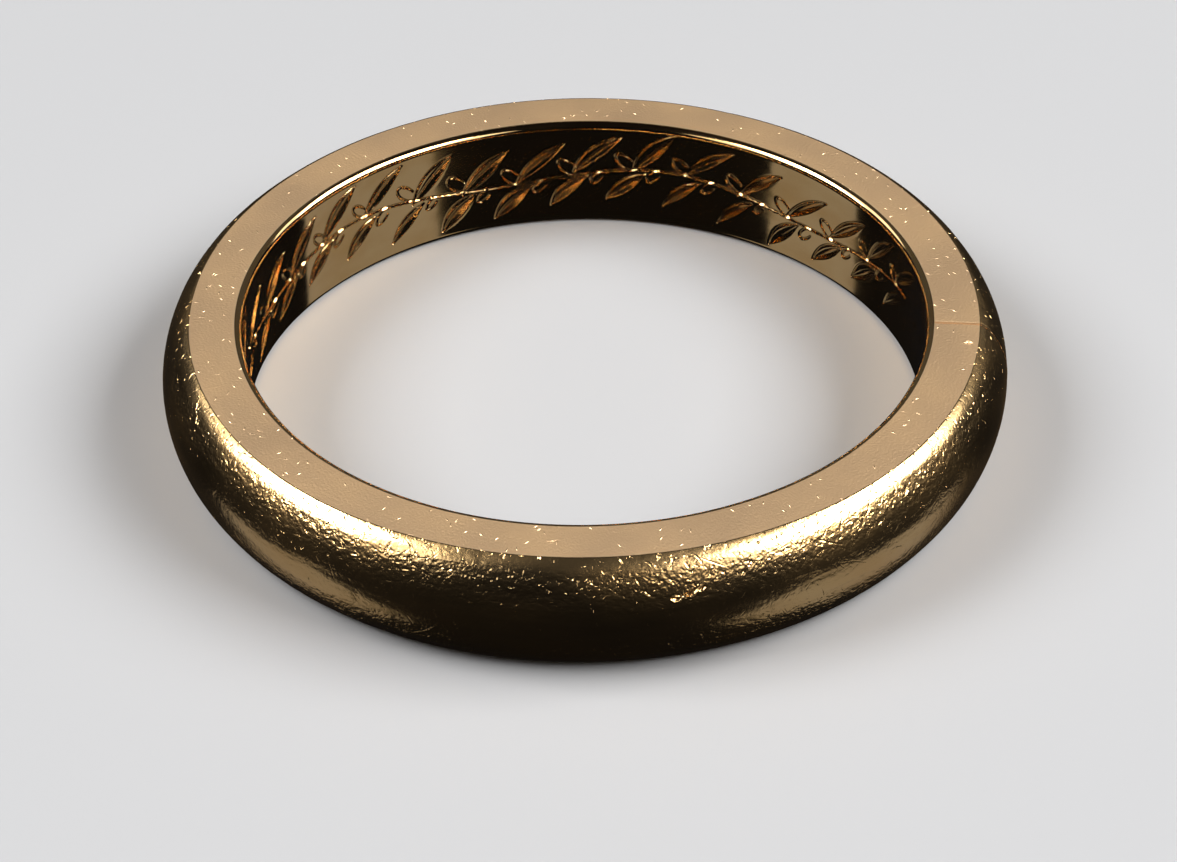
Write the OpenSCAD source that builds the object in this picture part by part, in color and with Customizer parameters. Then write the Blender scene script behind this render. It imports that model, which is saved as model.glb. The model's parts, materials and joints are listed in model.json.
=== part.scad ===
// Wedding band: a heavy D-section gold ring, bent from one strip and closed with a soldered seam.
// Millimetres. +Z runs along the finger, and the origin is the centre of the lower side face.

/* [Finger hole] */
// Diameter of the hole that the finger goes through
bore_d = 17.5; // [14:0.1:23]
// Rounding of the hole's two edges
bore_edge_r = 0.2; // [0.05:0.01:0.3]

/* [Band] */
// Width of the band along the finger
band_w = 3.2; // [3:0.1:8]
// Greatest thickness of the wall, at the middle of the crown
wall_t = 2.15; // [2:0.05:2.3]
// Width of each flat side face, between the rounding of the hole's edge and that of the outer edge
side_w = 1.15; // [1:0.05:1.3]
// Rounding of the outer edge of each side face
rim_r = 0.08; // [0.02:0.01:0.2]
// Radius of the shoulders, between the side faces and the crown
shoulder_r = 1; // [0.3:0.05:1.1]
// Slope at which a shoulder leaves the side face: 90 runs on flush, and 0 drops straight down
shoulder_slope = 62; // [52:1:74]

/* [Solder seam] */
// Thickness of the solder between the two ends of the strip
seam_t = 0.06; // [0.05:0.01:0.3]
// Place of the seam round the ring, in degrees from +X towards +Y
seam_az = -5; // [-180:1:180]

/* [Engraving] */
// Number of leaf sprigs engraved round the inside of the band
sprigs = 32; // [8:1:36]
// Length of an upper leaf, the longer of the two on each sprig
leaf_l = 1.75; // [0.8:0.05:1.8]
// Width of a leaf at its middle
leaf_w = 0.25; // [0.1:0.01:0.3]
// Lean of the leaves, from the direction of the finger
leaf_lean = 50; // [45:1:60]
// Stretch left plain on each side of the seam, in degrees
plain_a = 20; // [8:1:60]

/* [Hidden] */
$fn = 180;

bore_r = bore_d / 2;
outer_r = bore_r + wall_t;
mid_z = band_w / 2;

// Where a side face starts and ends, from the finger's axis
side_in_r = bore_r + bore_edge_r;
side_out_r = side_in_r + side_w;

// Centre of a shoulder's arc, with its height measured from the middle of the band
shoulder_x = side_out_r - (shoulder_r - rim_r) * cos(shoulder_slope);
shoulder_z = mid_z - rim_r - (shoulder_r - rim_r) * sin(shoulder_slope);

// The crown is one arc that meets both shoulder arcs smoothly
crown_h = outer_r - shoulder_x;
crown_r = (shoulder_z ^ 2 + crown_h ^ 2 - shoulder_r ^ 2) / (2 * (crown_h - shoulder_r));
crown_x = outer_r - crown_r;
crown_a = atan2(shoulder_z, shoulder_x - crown_x);

// Angle that the solder takes up, measured at the hole
seam_a = 2 * asin(seam_t / bore_d);

// Sprigs are spread evenly over the engraved stretch, along a stem line that waves up and down
sprig_step = (360 - 2 * plain_a) / (sprigs - 1);
stem_wave = 0.22;
waves = 6;

// How far a leaf's middle lies above or below the stem line, as a share of the leaf's length
upper_rise = 0.32;
lower_drop = 0.42;

// Length of a lower leaf, as a share of an upper one's
lower_share = 0.8;

// Gap between a leaf's two points and the wall, so that the cut fades out before it reaches them
tip_gap = 0.01;

// Point on an arc, from its centre, radius and angle
function on_arc(centre, r, a) = centre + r * [cos(a), sin(a)];

// Slice of a disc between two angles, cut off at the line through its inner points
module slice(centre, r, a_start, a_end, inner) {
  reach = 2 * r;
  intersection() {
    translate(centre)
      circle(r = r);
    polygon(concat(inner, [on_arc(centre, reach, a_end), on_arc(centre, reach, a_start)]));
  }
}

// Wall of the hole, with its two edges rounded
module section_bore() {
  translate([bore_r, bore_edge_r])
    square([bore_edge_r, band_w - 2 * bore_edge_r]);
  for (z = [bore_edge_r, band_w - bore_edge_r])
    translate([side_in_r, z])
      circle(r = bore_edge_r);
}

// Upper half of the outside, from the middle of the band: side face, rim, shoulder and half the crown
module section_half() {
  shoulder = [shoulder_x, shoulder_z];
  crown = [crown_x, 0];
  polygon([
    [side_in_r, 0],
    crown + [crown_r, 0],
    on_arc(shoulder, shoulder_r, crown_a),
    on_arc(shoulder, shoulder_r, shoulder_slope),
    [side_out_r, mid_z],
    [side_in_r, mid_z],
  ]);
  translate([side_out_r, mid_z - rim_r])
    circle(r = rim_r);
  slice(shoulder, shoulder_r, crown_a, shoulder_slope, [shoulder]);
  slice(crown, crown_r, 0, crown_a, [[shoulder_x, 0], shoulder]);
}

// D section of the band, at its radius from the finger's axis
module section() {
  section_bore();
  translate([0, mid_z])
    for (side = [0, 1])
      mirror([0, side])
        section_half();
}

// A stretch of the ring that starts at an angle and runs round by another
module stretch(start, sweep) {
  rotate([0, 0, start])
    rotate_extrude(angle = sweep)
      section();
}

// One graver cut in the wall of the hole: deep and wide at its middle, fading to a point at both ends
module leaf_cut(az, z, l) {
  half = l / 2;
  chord_x = sqrt(bore_r ^ 2 - (half * sin(leaf_lean)) ^ 2) - tip_gap;
  rotate([0, 0, az])
    translate([chord_x, 0, z])
      rotate([leaf_lean, 0, 0])
        for (up = [0, 1])
          mirror([0, 0, up])
            cylinder(h = half, r1 = leaf_w / 2, r2 = 0, $fn = 24);
}

// A running spray of leaves: a long one above the stem and a shorter one below it, at each step
module engraving() {
  lower_l = leaf_l * lower_share;
  for (i = [0 : sprigs - 1]) {
    az = seam_az + plain_a + i * sprig_step;
    stem_z = mid_z + stem_wave * sin(waves * az);
    leaf_cut(az, stem_z + leaf_l * upper_rise, leaf_l);
    leaf_cut(az + sprig_step / 2, stem_z - lower_l * lower_drop, lower_l);
  }
}

// The strip of gold, bent round until its two ends nearly meet
module band() {
  color("goldenrod")
    difference() {
      stretch(seam_az + seam_a / 2, 360 - seam_a);
      engraving();
    }
}

// The thin slug of solder that joins the two ends
module solder_seam() {
  color("darkgoldenrod")
    stretch(seam_az - seam_a / 2, seam_a);
}

band();
solder_seam();
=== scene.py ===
"""Looks for the wedding band: a worn D-section gold ring, engraved inside, on a plain pale floor.

Lengths on the ring, and the camera's distance from it, are millimetres until they reach Blender, which
takes metres as the frame does. The floor and the lights are in metres.

The skin of the band is one grid. Columns run round the ring, and rows run round the D section: up the wall
of the finger hole, out across the upper side face, down the crown and back across the lower side face. A
fine relief map over the grid holds the engraving, dents and scratches, and the mesh is split into smaller
cells only where the relief needs them.
"""

import json
import math

import bpy
import numpy as np
from mathutils import Matrix, Vector


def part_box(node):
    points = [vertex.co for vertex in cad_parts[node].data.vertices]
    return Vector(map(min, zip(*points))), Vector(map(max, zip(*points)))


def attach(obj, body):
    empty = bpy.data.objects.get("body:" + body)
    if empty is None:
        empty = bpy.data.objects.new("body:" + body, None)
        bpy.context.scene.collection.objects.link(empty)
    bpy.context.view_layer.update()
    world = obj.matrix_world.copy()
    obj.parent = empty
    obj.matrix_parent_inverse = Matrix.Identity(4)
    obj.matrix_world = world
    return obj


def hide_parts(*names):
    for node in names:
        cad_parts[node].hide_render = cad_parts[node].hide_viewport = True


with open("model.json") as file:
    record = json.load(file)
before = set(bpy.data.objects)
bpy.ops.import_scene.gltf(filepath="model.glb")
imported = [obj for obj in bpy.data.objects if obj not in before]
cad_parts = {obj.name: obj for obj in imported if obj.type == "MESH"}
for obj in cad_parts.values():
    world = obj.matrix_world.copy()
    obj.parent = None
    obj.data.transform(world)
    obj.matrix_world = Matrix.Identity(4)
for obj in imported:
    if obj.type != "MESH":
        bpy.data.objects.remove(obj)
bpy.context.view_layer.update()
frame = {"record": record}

MM = 0.001
SEED = 24
rng = np.random.default_rng(SEED)

# ---------------- sizes: the frame's, and the small ones that part.scad sets
band_lo, band_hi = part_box("band")
bore = next(m for m in frame["record"]["mounts"] if m["kind"] == "bore")
BORE_R = bore["dims"]["r_mm"]
BAND_W = (band_hi.z - band_lo.z) / MM
OUTER_R = -band_lo.x / MM
BORE_EDGE_R = 0.2
SIDE_W = 1.15
RIM_R = 0.08
SHOULDER_R = 1.0
SHOULDER_SLOPE = math.radians(62)
SEAM_T = 0.06
SEAM_AZ = math.radians(-5)

MID_Z = BAND_W / 2
SIDE_IN_R = BORE_R + BORE_EDGE_R
SIDE_OUT_R = SIDE_IN_R + SIDE_W
SHOULDER_X = SIDE_OUT_R - (SHOULDER_R - RIM_R) * math.cos(SHOULDER_SLOPE)
SHOULDER_Z = MID_Z - RIM_R - (SHOULDER_R - RIM_R) * math.sin(SHOULDER_SLOPE)
CROWN_H = OUTER_R - SHOULDER_X
CROWN_R = (SHOULDER_Z**2 + CROWN_H**2 - SHOULDER_R**2) / (2 * (CROWN_H - SHOULDER_R))
CROWN_X = OUTER_R - CROWN_R
CROWN_A = math.atan2(SHOULDER_Z, SHOULDER_X - CROWN_X)
SEAM_A = 2 * math.asin(SEAM_T / 2 / BORE_R)

# ---------------- the D section, as a closed chain of lines and arcs
ZONES = ["bore", "side", "crown"]


def line(zone, cells, start, end):
    """A straight run of the section: its zone, its number of cells, its length and its shape."""
    start, end = np.array(start), np.array(end)
    length = float(np.hypot(*(end - start)))
    along = (end - start) / length

    def at(k):
        r, z = (start[i] + k * (end - start)[i] for i in (0, 1))
        return r, z, np.full_like(k, -along[1]), np.full_like(k, along[0])

    return zone, cells, length, at


def arc(zone, cells, centre, radius, a_start, a_end):
    """A round run of the section, with its normal pointing away from the arc's centre."""

    def at(k):
        a = a_start + k * (a_end - a_start)
        return centre[0] + radius * np.cos(a), centre[1] + radius * np.sin(a), np.cos(a), np.sin(a)

    return zone, cells, radius * abs(a_end - a_start), at


QUARTER = math.pi / 2
SECTION = [
    line("bore", 14, (BORE_R, BORE_EDGE_R), (BORE_R, BAND_W - BORE_EDGE_R)),
    arc("bore", 4, (SIDE_IN_R, BAND_W - BORE_EDGE_R), BORE_EDGE_R, 2 * QUARTER, QUARTER),
    line("side", 6, (SIDE_IN_R, BAND_W), (SIDE_OUT_R, BAND_W)),
    arc("crown", 2, (SIDE_OUT_R, BAND_W - RIM_R), RIM_R, QUARTER, SHOULDER_SLOPE),
    arc("crown", 3, (SHOULDER_X, MID_Z + SHOULDER_Z), SHOULDER_R, SHOULDER_SLOPE, CROWN_A),
    arc("crown", 14, (CROWN_X, MID_Z), CROWN_R, CROWN_A, -CROWN_A),
    arc("crown", 3, (SHOULDER_X, MID_Z - SHOULDER_Z), SHOULDER_R, -CROWN_A, -SHOULDER_SLOPE),
    arc("crown", 2, (SIDE_OUT_R, RIM_R), RIM_R, -SHOULDER_SLOPE, -QUARTER),
    line("side", 6, (SIDE_OUT_R, 0.0), (SIDE_IN_R, 0.0)),
    arc("bore", 4, (SIDE_IN_R, BORE_EDGE_R), BORE_EDGE_R, -QUARTER, -2 * QUARTER),
]
CELL_ROWS = sum(run[1] for run in SECTION)
LEVELS = 3  # times that a cell can be halved
FINEST = 2  # relief samples across the smallest cell
FINE = FINEST << LEVELS  # relief samples across a whole cell
N_ROW = CELL_ROWS * FINE


def section_rows():
    """The section at each relief row: radius, height, normal, run length so far and zone."""
    t = np.arange(N_ROW) / FINE
    shape = np.zeros((5, N_ROW))
    zone = np.zeros(N_ROW, int)
    first, travelled = 0, 0.0
    for name, cells, length, at in SECTION:
        mine = (t >= first) & (t < first + cells)
        k = (t[mine] - first) / cells
        shape[:4, mine] = at(k)
        shape[4, mine] = travelled + k * length
        zone[mine] = ZONES.index(name)
        first += cells
        travelled += length
    return shape, zone, travelled


(row_r, row_z, row_nr, row_nz, row_s), row_zone, SECTION_LEN = section_rows()

WALL_LEN = SECTION[0][2]
SIDE_S = WALL_LEN + SECTION[1][2]
RIM_S = SIDE_S + SIDE_W
SHOULDER_S = RIM_S + SECTION[3][2]
CROWN_S = SHOULDER_S + SECTION[4][2]
CROWN_LEN = SECTION[5][2]
LOWER_RIM_S = CROWN_S + CROWN_LEN + SECTION[6][2]
LOWER_SIDE_S = LOWER_RIM_S + SECTION[7][2]


# ---------------- a stretch of the ring, and the relief on it
class Strip:
    """A stretch of the ring from one angle, round by another, with a relief map over its skin."""

    def __init__(self, start, turn, cell_columns):
        self.start, self.turn, self.cell_columns = start, turn, cell_columns
        self.columns = cell_columns * FINE
        self.angles = start + np.linspace(0, turn, self.columns + 1)
        self.relief = np.zeros((self.columns + 1, N_ROW), np.float32)

    def window(self, angle, s, reach):
        """The relief samples within reach of a place: their slices, and their distances round and along."""
        r = row_r[int(np.searchsorted(row_s, s)) % N_ROW]
        ends = (np.array([angle - reach / r, angle + reach / r]) - self.start) / self.turn * self.columns
        i0, i1 = max(int(ends[0]), 0), min(int(ends[1]) + 2, self.columns + 1)
        j0, j1 = np.searchsorted(row_s, [s - reach, s + reach])
        x = (self.angles[i0:i1] - angle) * r
        y = row_s[j0:j1] - s
        return (slice(i0, i1), slice(j0, j1)), x[:, None], y[None, :]

    def cut(self, angle, s, points, width, depth, burr=0.0):
        """Cuts a groove along points, each (round, along) from the place, with a burr on its edges."""
        points = np.array(points)
        widths = np.broadcast_to(width, len(points)).astype(float)
        depths = np.broadcast_to(depth, len(points)).astype(float)
        reach = float(np.abs(points).max()) + widths.max()
        where, x, y = self.window(angle, s, reach)
        deepest = np.zeros(np.broadcast_shapes(x.shape, y.shape))
        highest = np.zeros_like(deepest)
        for k in range(len(points) - 1):
            run = points[k + 1] - points[k]
            share = np.clip(((x - points[k][0]) * run[0] + (y - points[k][1]) * run[1]) / (run @ run), 0, 1)
            away = np.hypot(x - points[k][0] - share * run[0], y - points[k][1] - share * run[1])
            across = away / ((widths[k] + share * (widths[k + 1] - widths[k])) / 2)
            deep = depths[k] + share * (depths[k + 1] - depths[k])
            deepest = np.maximum(deepest, deep * np.maximum(1 - across, 0))
            highest = np.maximum(highest, burr * deep * np.exp(-(((across - 1.2) / 0.3) ** 2)))
        self.relief[where] += np.where(deepest > 0, -deepest, highest).astype(np.float32)

    def dent(self, angle, s, radius, depth):
        """Presses a soft round dimple."""
        where, x, y = self.window(angle, s, 1.6 * radius)
        self.relief[where] -= (depth * np.exp(-2 * (x**2 + y**2) / radius**2)).astype(np.float32)


BAND_COLUMNS = 310
WAVE_FADE = 0.5  # distance from the rims over which the waves of wear reach their full height
WAVE_OFF_CROWN = 0.25  # share of that height that the other faces get
band_strip = Strip(SEAM_AZ + SEAM_A / 2, 2 * math.pi - SEAM_A, BAND_COLUMNS)


def add_waves(strip, amplitude, shortest, longest, count):
    """Adds gentle waves that close up round the section, as years of wear leave on soft gold."""
    x = (strip.angles * OUTER_R)[:, None]
    y = (row_s * (2 * math.pi / SECTION_LEN))[None, :]
    total = np.zeros(strip.relief.shape, np.float32)
    for _ in range(count):
        wavelength = rng.uniform(shortest, longest)
        way = rng.uniform(0, 2 * math.pi)
        across = 2 * math.pi / wavelength * math.cos(way)
        turns = round(SECTION_LEN / wavelength * math.sin(way))
        total += np.sin(across * x + turns * y + rng.uniform(0, 2 * math.pi)).astype(np.float32)
    from_rims = np.minimum(row_s - SHOULDER_S, LOWER_RIM_S - row_s)
    on_crown = np.clip(from_rims / WAVE_FADE, 0, 1)
    share = WAVE_OFF_CROWN + (1 - WAVE_OFF_CROWN) * on_crown
    strip.relief += (total - total.max()) * (amplitude * math.sqrt(2 / count)) * share


def swelling(steps, thin, thick):
    """Values along a graver's stroke that starts thin, swells and ends thin."""
    return thin + (thick - thin) * np.sin(np.linspace(0, math.pi, steps))


# ---------------- engraving: part.scad's spray of leaves, and finer work
SPRIGS = 32
LEAF_L = 1.75
LEAF_W = 0.26
LEAF_LEAN = math.radians(50)
PLAIN_A = math.radians(20)
STEM_WAVE = 0.22
WAVES = 6
LOWER_SHARE = 0.8
UPPER_RISE = 0.32
LOWER_DROP = 0.42
LEAF_DEPTH = 0.085
LEAF_TIP_W = 0.04
LEAF_TIP_DEPTH = 0.008
LEAF_BURR = 0.08
LEAN_SPREAD = 0.05
HAIR_W = 0.1
HAIR_DEPTH = 0.034
SPRIG_STEP = (2 * math.pi - 2 * PLAIN_A) / (SPRIGS - 1)
STROKE_STEPS = 13
TENDRIL_STEPS = 22
DOTS = 3
DOT_STEP = 0.7
DOT_R = 0.17
DOT_DEPTH = 0.035


def stem_s(angle):
    """Run length along the wall, up to the waving stem."""
    return BAND_W / 2 + STEM_WAVE * np.sin(WAVES * angle) - BORE_EDGE_R


def bow(length, bend, lean, steps=STROKE_STEPS):
    """Points of a bowed stroke about its middle. Lean is measured from the finger's direction."""
    k = np.linspace(-1, 1, steps)
    along, aside = length / 2 * k, bend * (1 - k**2)
    x = aside * math.cos(lean) - along * math.sin(lean)
    y = aside * math.sin(lean) + along * math.cos(lean)
    return np.stack([x, y], 1)


def engrave_leaf(angle, s, length, lean):
    """One leaf: a thick swelling stroke, and a fine bowed one beside it that draws its back edge."""
    leaf = bow(length, rng.uniform(-0.05, 0.05), lean)
    width = swelling(STROKE_STEPS, LEAF_TIP_W, LEAF_W * rng.uniform(0.85, 1.1))
    depth = swelling(STROKE_STEPS, LEAF_TIP_DEPTH, LEAF_DEPTH)
    band_strip.cut(angle, s, leaf, width, depth, LEAF_BURR)
    edge = bow(length, rng.uniform(0.2, 0.3), lean)
    band_strip.cut(angle, s, edge, swelling(STROKE_STEPS, 0.7 * HAIR_W, HAIR_W), HAIR_DEPTH)


def engrave_tendril(angle, s, size, side):
    """A fine curl that rises from the stem to one side and winds in on itself."""
    turn = np.linspace(-QUARTER, 1.1 * math.pi, TENDRIL_STEPS)
    radius = size * np.linspace(1, 0.45, TENDRIL_STEPS)
    x = radius * np.cos(turn) + 0.5 * size * np.sin(turn)
    y = radius * np.sin(turn) + size
    width = swelling(TENDRIL_STEPS, 0.6 * HAIR_W, HAIR_W)
    band_strip.cut(angle, s, np.stack([x, side * y], 1), width, HAIR_DEPTH)


def engrave():
    """The whole spray: the leaves where part.scad has them, then the stem between them and its tendrils."""
    lower_l = LEAF_L * LOWER_SHARE
    for i in range(SPRIGS):
        angle = SEAM_AZ + PLAIN_A + i * SPRIG_STEP
        s = stem_s(angle)
        lean = LEAF_LEAN + rng.normal(0, LEAN_SPREAD)
        engrave_leaf(angle, s + LEAF_L * UPPER_RISE, LEAF_L, lean)
        lean = LEAF_LEAN + rng.normal(0, LEAN_SPREAD)
        engrave_leaf(angle + SPRIG_STEP / 2, s - lower_l * LOWER_DROP, lower_l, lean)
    for i in range(SPRIGS - 1):
        angle = SEAM_AZ + PLAIN_A + (i + 0.5) * SPRIG_STEP
        s = stem_s(angle)
        turn = np.linspace(-SPRIG_STEP / 2, SPRIG_STEP / 2, STROKE_STEPS)
        stem = np.stack([turn * BORE_R, stem_s(angle + turn) - s], 1)
        band_strip.cut(angle, s, stem, HAIR_W, HAIR_DEPTH)
        engrave_tendril(angle, s, rng.uniform(0.26, 0.34), 1)
        end = angle + SPRIG_STEP / 2
        engrave_tendril(end, stem_s(end), rng.uniform(0.2, 0.26), -1)


def punch_dots():
    """A row of round dots punched in the plain stretch beside the seam."""
    for i in range(DOTS):
        band_strip.dent(SEAM_AZ + (i + 1) * DOT_STEP / BORE_R, WALL_LEN / 2, DOT_R, DOT_DEPTH)


# ---------------- wear
SEAM_MARGIN = 0.03
SCRATCH_STEPS = 6
SCRATCH_BURR = 0.2
MARK_BURR = 0.3
MARK_BEND = 0.04


def band_angle():
    """A random place round the band, a little way off the seam."""
    return band_strip.start + rng.uniform(SEAM_MARGIN, band_strip.turn - SEAM_MARGIN)


def scratch(angle, s, length, width, depth):
    """A fine scratch in any direction, slightly bowed."""
    points = bow(length, rng.normal(0, 0.08) * length, rng.uniform(0, math.pi), SCRATCH_STEPS)
    widths = swelling(SCRATCH_STEPS, 0.4 * width, width)
    depths = swelling(SCRATCH_STEPS, 0.2 * depth, depth)
    band_strip.cut(angle, s, points, widths, depths, SCRATCH_BURR)


# Marks that stand out: where their face starts along the section, the distance from there, the azimuth in
# degrees, the length, the lean in degrees, the width and the depth
MARKS = [
    (RIM_S, 1.05, -77, 0.5, 68, 0.13, 0.065),
    (RIM_S, 1.15, -78.8, 0.26, 95, 0.12, 0.06),
    (RIM_S, 0.98, -75.4, 0.24, 50, 0.1, 0.05),
    (RIM_S, 0.3, -75.5, 0.32, -35, 0.06, 0.016),
    (RIM_S, 0.25, -79, 0.24, 25, 0.06, 0.016),
    (RIM_S, 0.28, -82, 0.2, -50, 0.06, 0.014),
    (RIM_S, 0.5, -50, 0.3, 40, 0.08, 0.02),
    (RIM_S, 0.62, -43, 0.24, 30, 0.09, 0.022),
    (RIM_S, 0.3, -114, 0.26, -30, 0.06, 0.018),
    (RIM_S, 0.55, -108, 0.2, 30, 0.06, 0.018),
    (SIDE_S, 0.55, -95, 0.26, 75, 0.07, 0.02),
    (SIDE_S, 0.5, -148, 0.16, 60, 0.06, 0.014),
    (SIDE_S, 0.9, -10, 0.2, 10, 0.12, 0.035),
]


def random_scratch(s, lengths, widths, depths):
    """A scratch somewhere round the ring, its length, width and depth each from a (least, most) range."""
    scratch(band_angle(), s, rng.uniform(*lengths), rng.uniform(*widths), rng.uniform(*depths))


def wear_crown(dents, long_scratches, nicks):
    """Shallow dents and long scratches all over the crown, and short nicks that crowd towards its rims."""
    for _ in range(dents):
        s = rng.uniform(SHOULDER_S, LOWER_RIM_S)
        band_strip.dent(band_angle(), s, rng.uniform(0.06, 0.3), rng.uniform(0.001, 0.006))
    for _ in range(long_scratches):
        s = rng.uniform(SHOULDER_S, LOWER_RIM_S)
        angle = band_angle()
        length = rng.exponential(0.35) + 0.12
        scratch(angle, s, length, rng.uniform(0.03, 0.055), rng.uniform(0.003, 0.009))
    for _ in range(nicks):
        away = rng.exponential(0.35)
        s = RIM_S + away if rng.random() < 0.5 else LOWER_SIDE_S - away
        random_scratch(s, (0.06, 0.2), (0.04, 0.08), (0.006, 0.018))


def wear_side(first, specks, edge_nicks):
    """Fine specks over a side face that starts at a run length, and nicks along its two edges."""
    for _ in range(specks):
        s = first + rng.uniform(0, SIDE_W)
        random_scratch(s, (0.04, 0.12), (0.03, 0.05), (0.002, 0.006))
    for _ in range(edge_nicks):
        s = first + rng.choice([0.0, SIDE_W]) + rng.normal(0, 0.03)
        random_scratch(s, (0.05, 0.16), (0.04, 0.07), (0.004, 0.01))


def cut_marks():
    """The named marks, each one bowed stroke."""
    for first, away, azimuth, length, lean, width, depth in MARKS:
        points = bow(length, MARK_BEND, math.radians(lean), SCRATCH_STEPS)
        widths = swelling(SCRATCH_STEPS, 0.4 * width, width)
        depths = swelling(SCRATCH_STEPS, 0.3 * depth, depth)
        angle = math.radians(azimuth) % (2 * math.pi)
        band_strip.cut(angle, first + away, points, widths, depths, MARK_BURR)


def sink_ends(strip, depth, width):
    """Fades the relief out at a strip's two ends, and sinks a fine line there."""
    from_end = np.minimum(strip.angles - strip.start, strip.start + strip.turn - strip.angles)
    away = from_end[:, None] * row_r[None, :]
    strip.relief *= np.clip(away / (3 * width), 0, 1)
    strip.relief -= (depth * np.exp(-((away / width) ** 2))).astype(np.float32)


engrave()
punch_dots()
add_waves(band_strip, amplitude=0.004, shortest=2.2, longest=7.0, count=26)
wear_crown(dents=420, long_scratches=420, nicks=260)
for side_start in (SIDE_S, LOWER_SIDE_S):
    wear_side(side_start, specks=70, edge_nicks=60)
cut_marks()
sink_ends(band_strip, depth=0.008, width=0.03)


# ---------------- mesh of a strip
TOLERANCE = 0.0015  # most that the mesh may leave the relief map by, between its vertices


def pooled(grid):
    """Whether any of each 2 by 2 block is set."""
    return grid[::2, ::2] | grid[1::2, ::2] | grid[::2, 1::2] | grid[1::2, 1::2]


def spread(grid):
    """Sets the neighbours of every set cell. Rows wrap round the section, and columns stop at the ends."""
    rows = grid | np.roll(grid, 1, 1) | np.roll(grid, -1, 1)
    out = rows.copy()
    out[1:] |= rows[:-1]
    out[:-1] |= rows[1:]
    return out


def cells_to_split(strip):
    """For each level, the cells too coarse to follow the relief, and the neighbours that must split too."""
    relief = strip.relief
    bend = np.abs(np.roll(relief, 1, 1) - 2 * relief + np.roll(relief, -1, 1))
    bend[1:-1] = np.maximum(bend[1:-1], np.abs(relief[2:] - 2 * relief[1:-1] + relief[:-2]))
    bend = np.maximum(bend[:-1], bend[1:])
    splits = []
    for level in range(LEVELS):
        size = FINE >> level
        worst = bend.reshape(strip.columns // size, size, N_ROW // size, size).max((1, 3))
        splits.append(worst * size**2 / 8 > TOLERANCE)
    for level in range(LEVELS - 2, -1, -1):
        splits[level] |= pooled(spread(splits[level + 1]))
    return splits


def skin(strip):
    """Vertices as (column, row) of the relief map, the faces, and the rings of vertices at both ends."""
    splits = cells_to_split(strip)
    used = np.zeros((strip.columns + 1, N_ROW), bool)
    leaves = []
    alive = np.ones((strip.cell_columns, CELL_ROWS), bool)
    for level in range(LEVELS + 1):
        split = alive & splits[level] if level < LEVELS else np.zeros_like(alive)
        size = FINE >> level
        i, j = (grid * size for grid in np.nonzero(alive & ~split))
        for di in (0, size):
            for dj in (0, size):
                used[i + di, (j + dj) % N_ROW] = True
        leaves.append((i, j, size))
        alive = np.kron(split, np.ones((2, 2), bool)).astype(bool)
    index = np.full(used.shape, -1)
    index[used] = np.arange(used.sum())
    places = [np.argwhere(used)]
    count = len(places[0])
    faces = []
    for i, j, size in leaves:
        half = size // 2
        near_edge = [(0, 0), (0, half), (0, size), (half, size)]
        far_edge = [(size, size), (size, half), (size, 0), (half, 0)]
        around = np.stack([index[i + di, (j + dj) % N_ROW] for di, dj in near_edge + far_edge], 1)
        whole = (around[:, 1::2] < 0).all(1)
        faces += around[whole][:, ::2].tolist()
        centres = np.stack([i[~whole] + half, j[~whole] + half], 1)
        places.append(centres)
        for loop in around[~whole].tolist():
            loop = [v for v in loop if v >= 0]
            faces += [[count, v, w] for v, w in zip(loop, loop[1:] + loop[:1], strict=True)]
            count += 1
    ends = [ring[ring >= 0] for ring in (index[0], index[-1])]
    return np.concatenate(places), faces, ends


def placed(strip, places):
    """Positions and normals of skin vertices, with the relief applied."""
    i, j = places[:, 0], places[:, 1] % N_ROW
    relief, angle = strip.relief, strip.angles[i]
    radial = np.stack([np.cos(angle), np.sin(angle)], 1)
    r = row_r[j] + row_nr[j] * relief[i, j]
    z = row_z[j] + row_nz[j] * relief[i, j]
    ahead, behind = np.minimum(i + 1, strip.columns), np.maximum(i - 1, 0)
    step = strip.turn / strip.columns * row_r[j]
    slope_round = (relief[ahead, j] - relief[behind, j]) / ((ahead - behind) * step)
    up, down = (j + 1) % N_ROW, (j - 1) % N_ROW
    slope_along = (relief[i, up] - relief[i, down]) / ((row_s[up] - row_s[down]) % SECTION_LEN)
    normal_r = row_nr[j] - slope_along * row_nz[j]
    normal_z = row_nz[j] + slope_along * row_nr[j]
    sideways = np.stack([-radial[:, 1], radial[:, 0]], 1)
    normal = np.column_stack([radial * normal_r[:, None] - sideways * slope_round[:, None], normal_z])
    return np.column_stack([radial * r[:, None], z]), normal / np.linalg.norm(normal, axis=1)[:, None]


def cap(ends, centres):
    """Fans that close the two D-shaped ends of a strip, each about its own centre vertex."""
    faces = []
    for ring, centre, forward in zip(ends, centres, (False, True), strict=True):
        ring = ring.tolist()
        for v, w in zip(ring, ring[1:] + ring[:1], strict=True):
            faces.append([centre, v, w] if forward else [centre, w, v])
    return faces


def end_centre(angle):
    """The middle of a strip's end face."""
    r = SIDE_IN_R + SIDE_W / 2
    return [r * math.cos(angle), r * math.sin(angle), MID_Z]


class Corners:
    """Every face corner of a mesh, face after face: its vertex, and each face's size and first corner."""

    def __init__(self, faces):
        self.vertex = np.concatenate([np.array(face) for face in faces])
        self.sizes = np.array([len(face) for face in faces])
        self.first = np.cumsum(self.sizes) - self.sizes


def corner_rows(corners, places):
    """Each corner's row of the relief map. A face that closes the section counts on past the last row."""
    rows = np.append(places[:, 1], [0, 0])[corners.vertex]
    top = np.repeat(np.maximum.reduceat(rows, corners.first), corners.sizes)
    return np.where(top - rows > N_ROW // 2, rows + N_ROW, rows)


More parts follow.
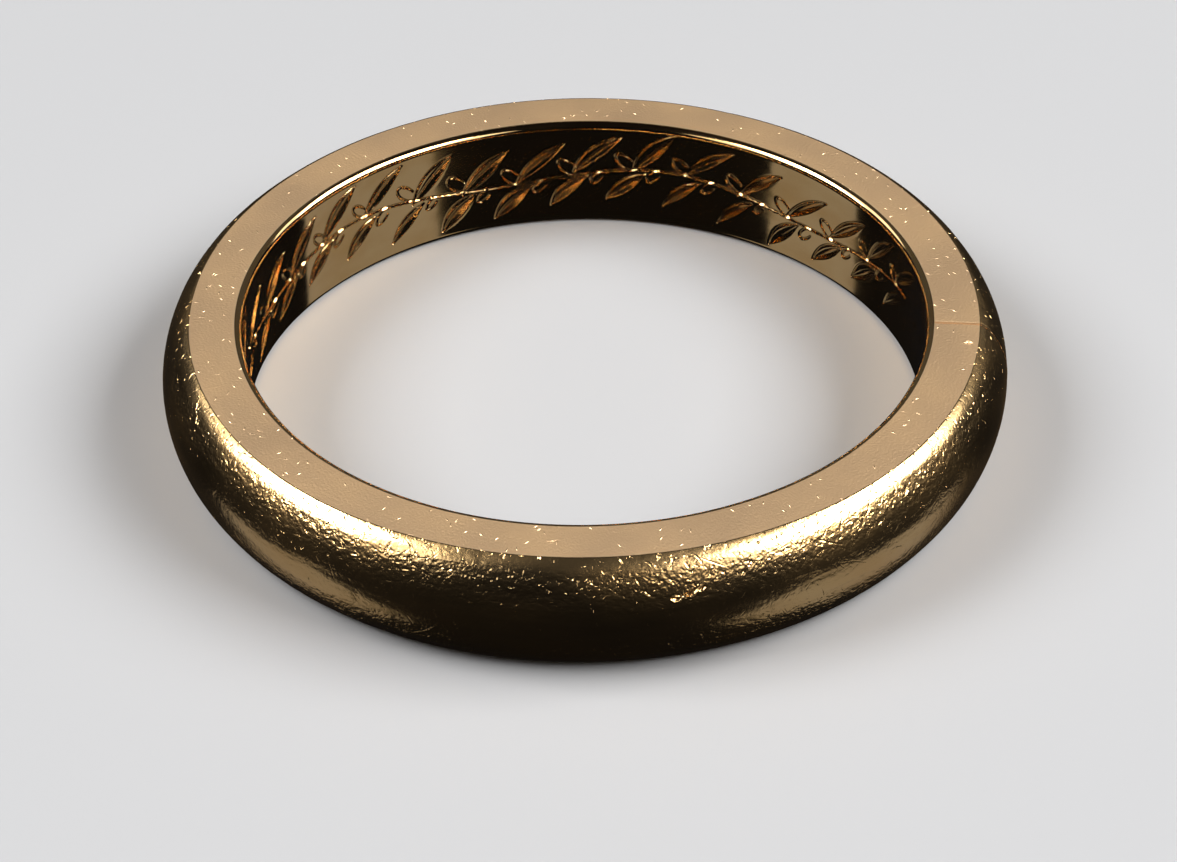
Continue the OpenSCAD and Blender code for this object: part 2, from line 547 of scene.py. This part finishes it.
def unroll(mesh, strip, places, corners, rows):
    """Stores each corner's place on the unrolled skin, round and along, for the materials."""
    s = np.append(row_s, SECTION_LEN)[np.minimum(rows, N_ROW)]
    angle = np.append(strip.angles[places[:, 0]], [0, 0])[corners.vertex]
    unrolled = np.column_stack([angle * OUTER_R, s, np.zeros(len(s))])
    layer = mesh.attributes.new("unrolled", "FLOAT_VECTOR", "CORNER")
    layer.data.foreach_set("vector", unrolled.astype(np.float32).ravel())


def set_zones(mesh, corners, rows, skin_faces):
    """Gives each face the material slot of its zone. The end faces take the side's."""
    middle = (np.add.reduceat(rows, corners.first) / corners.sizes).astype(int) % N_ROW
    zone = row_zone[middle]
    zone[skin_faces:] = ZONES.index("side")
    mesh.polygons.foreach_set("material_index", zone.astype(np.int32))


def set_normals(mesh, corners, normals, skin_faces):
    """Gives the skin smooth normals that follow the relief, and the end faces flat ones."""
    mesh.polygons.foreach_set("use_smooth", np.ones(len(corners.sizes), bool))
    mesh.update()
    flat = np.zeros(3 * len(corners.sizes), np.float32)
    mesh.polygons.foreach_get("normal", flat)
    corner_normals = np.repeat(flat.reshape(-1, 3).astype(float), corners.sizes, axis=0)
    in_skin = np.arange(len(corners.vertex)) < corners.first[skin_faces]
    corner_normals[in_skin] = normals[corners.vertex[in_skin]]
    mesh.normals_split_custom_set(corner_normals.tolist())


def solid(name, strip):
    """The closed solid of a strip, as a Blender object."""
    places, faces, ends = skin(strip)
    points, normals = placed(strip, places)
    skin_faces = len(faces)
    faces += cap(ends, [len(points), len(points) + 1])
    points = np.vstack([points, end_centre(strip.angles[0]), end_centre(strip.angles[-1])])
    mesh = bpy.data.meshes.new(name)
    mesh.from_pydata((points * MM).tolist(), [], faces)
    corners = Corners(faces)
    rows = corner_rows(corners, places)
    unroll(mesh, strip, places, corners, rows)
    set_zones(mesh, corners, rows, skin_faces)
    set_normals(mesh, corners, normals, skin_faces)
    piece = bpy.data.objects.new(name, mesh)
    bpy.context.scene.collection.objects.link(piece)
    return piece


SEAM_SINK = 0.005
band_piece = solid("band_skin", band_strip)
seam_strip = Strip(SEAM_AZ - SEAM_A / 2, SEAM_A, 1)
seam_strip.relief -= SEAM_SINK
seam_piece = solid("solder_line", seam_strip)


# ---------------- materials
GOLD = (0.93, 0.63, 0.30)
DEEP_GOLD = (0.87, 0.54, 0.22)
MATTE_GOLD = (0.90, 0.62, 0.36)
SOLDER = (0.84, 0.49, 0.24)
SCRATCH_WAYS = 5
FLECK_REACH = 0.3  # half width of a fleck, as a share of its cell


class Material:
    """A metal material, built up node by node. Lengths given to it are millimetres on the unrolled skin."""

    def __init__(self, name):
        self.material = bpy.data.materials.new(name)
        self.material.use_nodes = True
        self.tree = self.material.node_tree
        self.shader = self.tree.nodes["Principled BSDF"]
        self.shader.inputs["Metallic"].default_value = 1
        self.skin = self.node("ShaderNodeAttribute", attribute_name="unrolled").outputs["Vector"]

    def node(self, kind, inputs=None, **settings):
        """Adds a node. An input is a number, a tuple or another node's output."""
        made = self.tree.nodes.new(kind)
        for key, value in settings.items():
            setattr(made, key, value)
        for key, value in (inputs or {}).items():
            if isinstance(value, bpy.types.NodeSocket):
                self.tree.links.new(value, made.inputs[key])
            else:
                made.inputs[key].default_value = value
        return made

    def combine(self, operation, *values):
        """Works an arithmetic operation on numbers and other nodes' outputs."""
        return self.node("ShaderNodeMath", dict(enumerate(values)), operation=operation).outputs[0]

    def ramp(self, value, low, high, out_low=0.0, out_high=1.0):
        """Maps a value from one range to another, and clamps it."""
        inputs = {"Value": value, "From Min": low, "From Max": high, "To Min": out_low, "To Max": out_high}
        return self.node("ShaderNodeMapRange", inputs).outputs["Result"]

    def placed(self, size, way=0.0, shift=0.0):
        """Skin coordinates turned by an angle, then divided by (long, short) sizes."""
        turned = self.node("ShaderNodeMapping", {"Vector": self.skin, "Rotation": (0, 0, way)})
        scale = (1 / size[0], 1 / size[1], 1)
        scaled = {"Vector": turned.outputs[0], "Scale": scale, "Location": (shift, shift, 0)}
        return self.node("ShaderNodeMapping", scaled).outputs[0]

    def noise(self, size, shift=0.0, detail=2.0):
        """Cloudy noise with grains of (long, short) sizes."""
        inputs = {"Vector": self.placed(size, shift=shift), "Scale": 1.0, "Detail": detail}
        return self.node("ShaderNodeTexNoise", inputs, noise_dimensions="2D").outputs["Fac"]

    def flecks(self, size, way, shift, share):
        """Separate elongated flecks in cells of (long, short) sizes, in a share of the cells."""
        inputs = {"Vector": self.placed(size, way, shift), "Scale": 1.0}
        cells = self.node("ShaderNodeTexVoronoi", inputs, voronoi_dimensions="2D")
        body = self.ramp(cells.outputs["Distance"], FLECK_REACH, 0.0)
        chosen = self.node("ShaderNodeSeparateColor", {"Color": cells.outputs["Color"]}).outputs[0]
        return self.combine("MULTIPLY", body, self.combine("LESS_THAN", chosen, share))

    def scratches(self, length, width, share, shift):
        """Fine straight scratches in several directions."""
        total = None
        for k in range(SCRATCH_WAYS):
            way = math.pi * (k + 0.3) / SCRATCH_WAYS
            layer = self.flecks((length, width), way, shift + 7.3 * k, share)
            total = layer if total is None else self.combine("MAXIMUM", total, layer)
        return total

    def relief(self, *layers):
        """Bumps the surface. Each layer is a height and the number of millimetres that it stands for."""
        height = None
        for value, amount in layers:
            scaled = self.combine("MULTIPLY", value, amount)
            height = scaled if height is None else self.combine("ADD", height, scaled)
        bump = self.node("ShaderNodeBump", {"Height": height, "Distance": MM, "Strength": 1.0})
        self.tree.links.new(bump.outputs["Normal"], self.shader.inputs["Normal"])

    def colour(self, light, deep, share):
        """Sets the base colour, from light where the share is 0 to deep where it is 1."""
        mix = self.node("ShaderNodeMix", data_type="RGBA")
        self.tree.links.new(share, mix.inputs["Factor"])
        mix.inputs["A"].default_value = (*light, 1)
        mix.inputs["B"].default_value = (*deep, 1)
        self.tree.links.new(mix.outputs["Result"], self.shader.inputs["Base Color"])

    def roughness(self, value):
        """Sets the roughness from another node's output."""
        self.tree.links.new(value, self.shader.inputs["Roughness"])


def bore_material(name, light, deep):
    """High polish with faint lines round the hole, a little duller here and there."""
    m = Material(name)
    cloud = m.noise((2.5, 1.2), detail=3)
    m.colour(light, deep, m.ramp(cloud, 0.4, 0.8))
    m.roughness(m.ramp(cloud, 0.3, 0.7, 0.07, 0.14))
    m.relief((m.noise((1.6, 0.9), shift=3.0), 0.004), (m.noise((1.2, 0.03), shift=5.0), 0.0002))
    return m.material


def side_material(name, light, deep):
    """Fine matte, as filed and never polished, with tiny bright specks."""
    m = Material(name)
    cloud = m.noise((3.0, 2.0), detail=4)
    grain = m.noise((0.07, 0.07), shift=11.0, detail=1)
    specks = m.scratches(0.28, 0.075, 0.008, 17.0)
    m.colour(light, deep, m.ramp(cloud, 0.35, 0.75, 0.0, 0.25))
    matte = m.ramp(cloud, 0.3, 0.7, 0.49, 0.52)
    m.roughness(m.combine("SUBTRACT", matte, m.combine("MULTIPLY", specks, 0.25)))
    m.relief((grain, 0.009), (specks, 0.02))
    return m.material


def crown_material(name, light, deep):
    """Worn satin: peened and scratched every way, most of all just below the shoulders."""
    m = Material(name)
    cloud = m.noise((3.5, 1.4), detail=4)
    run = m.node("ShaderNodeSeparateXYZ", {"Vector": m.skin}).outputs["Y"]
    from_upper = m.combine("SUBTRACT", run, RIM_S)
    from_lower = m.combine("SUBTRACT", LOWER_SIDE_S, run)
    away = m.combine("MINIMUM", from_upper, from_lower)
    amount = m.combine("MULTIPLY", m.ramp(away, 0.28, 0.6, 0.2, 1.0), m.ramp(away, 0.9, 1.6, 1.0, 0.25))
    smears = m.noise((1.5, 0.3), shift=9.0, detail=1)
    ripple = m.noise((0.16, 0.12), shift=21.0, detail=1)
    pits = m.combine("MAXIMUM", m.scratches(0.2, 0.13, 0.16, 37.0), m.scratches(0.45, 0.1, 0.12, 27.0))
    near_rims = m.ramp(away, 0.3, 1.1, 1.0, 0.0)
    glints = m.combine("MULTIPLY", m.scratches(0.22, 0.065, 0.03, 47.0), near_rims)
    m.colour(light, deep, m.ramp(cloud, 0.35, 0.75))
    m.roughness(m.ramp(cloud, 0.3, 0.75, 0.18, 0.26))
    peening = m.combine("MULTIPLY", ripple, amount)
    dings = m.combine("MULTIPLY", pits, amount)
    m.relief((smears, 0.014), (peening, 0.016), (dings, -0.008), (glints, -0.015))
    return m.material


def dress(piece, light, deep, matte):
    """One material for each zone, in the order of ZONES."""
    for material in (
        bore_material(f"{piece.name}_bore", light, deep),
        side_material(f"{piece.name}_side", matte, light),
        crown_material(f"{piece.name}_crown", light, deep),
    ):
        piece.data.materials.append(material)


dress(band_piece, GOLD, DEEP_GOLD, MATTE_GOLD)
dress(seam_piece, SOLDER, SOLDER, SOLDER)

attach(band_piece, "root")
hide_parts("band")
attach(seam_piece, "root")
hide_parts("solder_seam")

# ---------------- camera
CAMERA_DISTANCE = 98.3
CAMERA_LIFT = math.radians(36.8)
CAMERA_LENS = 115
CAMERA_ROLL = -0.0117
AIM_RIGHT = 0.076
AIM_DOWN = 0.586


def add_camera():
    """A camera in front of the ring and above it, aimed a little below the ring's middle."""
    camera = bpy.data.objects.new("camera", bpy.data.cameras.new("camera"))
    camera.data.lens = CAMERA_LENS
    camera.data.clip_start = 0.01
    camera.data.clip_end = 20
    up = Vector((0, math.sin(CAMERA_LIFT), math.cos(CAMERA_LIFT)))
    back = Vector((0, -math.cos(CAMERA_LIFT), math.sin(CAMERA_LIFT)))
    right = Vector((1, 0, 0))
    eye = back * CAMERA_DISTANCE
    aim = right * AIM_RIGHT - up * AIM_DOWN
    turn = (aim - eye).to_track_quat("-Z", "Y").to_matrix() @ Matrix.Rotation(CAMERA_ROLL, 3, "Z")
    camera.matrix_world = Matrix.Translation(eye * MM) @ turn.to_4x4()
    bpy.context.scene.collection.objects.link(camera)
    bpy.context.scene.camera = camera


add_camera()


# ---------------- floor and light
FLOOR_SIZE = 1.8
FLOOR_GREY = (0.32, 0.32, 0.325, 1)
NIGHT = (0.005, 0.005, 0.006, 1)

# Soft boxes that the table mirrors: name, azimuth, lift, distance, width, height and radiance
BOXES = [
    ("right_softbox", -8, 43.5, 0.5, 0.46, 0.24, 13.0),
    ("left_softbox", 181, 43.5, 0.5, 0.30, 0.24, 13.0),
    ("back_softbox", 90, 30, 0.5, 0.95, 0.4, 0.06),
]
TABLE_SHINE = 0.019  # share of a box's light in its mirror image

# Dimmer and wider boxes just behind the strong ones, without a mirror image
WINGS = [
    ("right_wings", -12, 43.5, 0.52, 0.85, 0.24, 1.6),
    ("left_wings", 180, 43.5, 0.52, 0.75, 0.24, 1.6),
]


def add_floor():
    """A plain pale floor. The gold mirrors the dark studio instead of it, as on a dark table."""
    mesh = bpy.data.meshes.new("floor")
    half = FLOOR_SIZE / 2
    square = [(-half, -half, 0), (half, -half, 0), (half, half, 0), (-half, half, 0)]
    mesh.from_pydata(square, [], [(0, 1, 2, 3)])
    floor = bpy.data.objects.new("floor", mesh)
    bpy.context.scene.collection.objects.link(floor)
    material = bpy.data.materials.new("floor")
    material.use_nodes = True
    shader = material.node_tree.nodes["Principled BSDF"]
    shader.inputs["Base Color"].default_value = FLOOR_GREY
    shader.inputs["Roughness"].default_value = 0.7
    mesh.materials.append(material)
    floor.visible_glossy = False
    floor.visible_shadow = False


def softbox(name, azimuth, lift, distance, width, height, radiance):
    """A large soft light that faces the ring. Gloss sees it and the camera doesn't."""
    data = bpy.data.lights.new(name, "AREA")
    data.shape = "RECTANGLE"
    data.size, data.size_y = width, height
    data.energy = radiance * math.pi * width * height
    lamp = bpy.data.objects.new(name, data)
    a, e = math.radians(azimuth), math.radians(lift)
    place = Vector((math.cos(a) * math.cos(e), math.sin(a) * math.cos(e), math.sin(e))) * distance
    lamp.location = place
    lamp.rotation_euler = place.to_track_quat("Z", "Y").to_euler()
    lamp.visible_camera = False
    bpy.context.scene.collection.objects.link(lamp)


def studio():
    """The lights, with a dim twin of each soft box below the floor, and a nearly black room."""
    for name, azimuth, lift, distance, width, height, radiance in BOXES:
        softbox(name, azimuth, lift, distance, width, height, radiance)
        softbox(name + "_mirrored", azimuth, -lift, distance, width, height, radiance * TABLE_SHINE)
    for wing in WINGS:
        softbox(*wing)
    world = bpy.data.worlds.new("world")
    world.use_nodes = True
    world.node_tree.nodes["Background"].inputs["Color"].default_value = NIGHT
    bpy.context.scene.world = world


add_floor()
studio()
bpy.context.scene.view_settings.view_transform = "Standard"
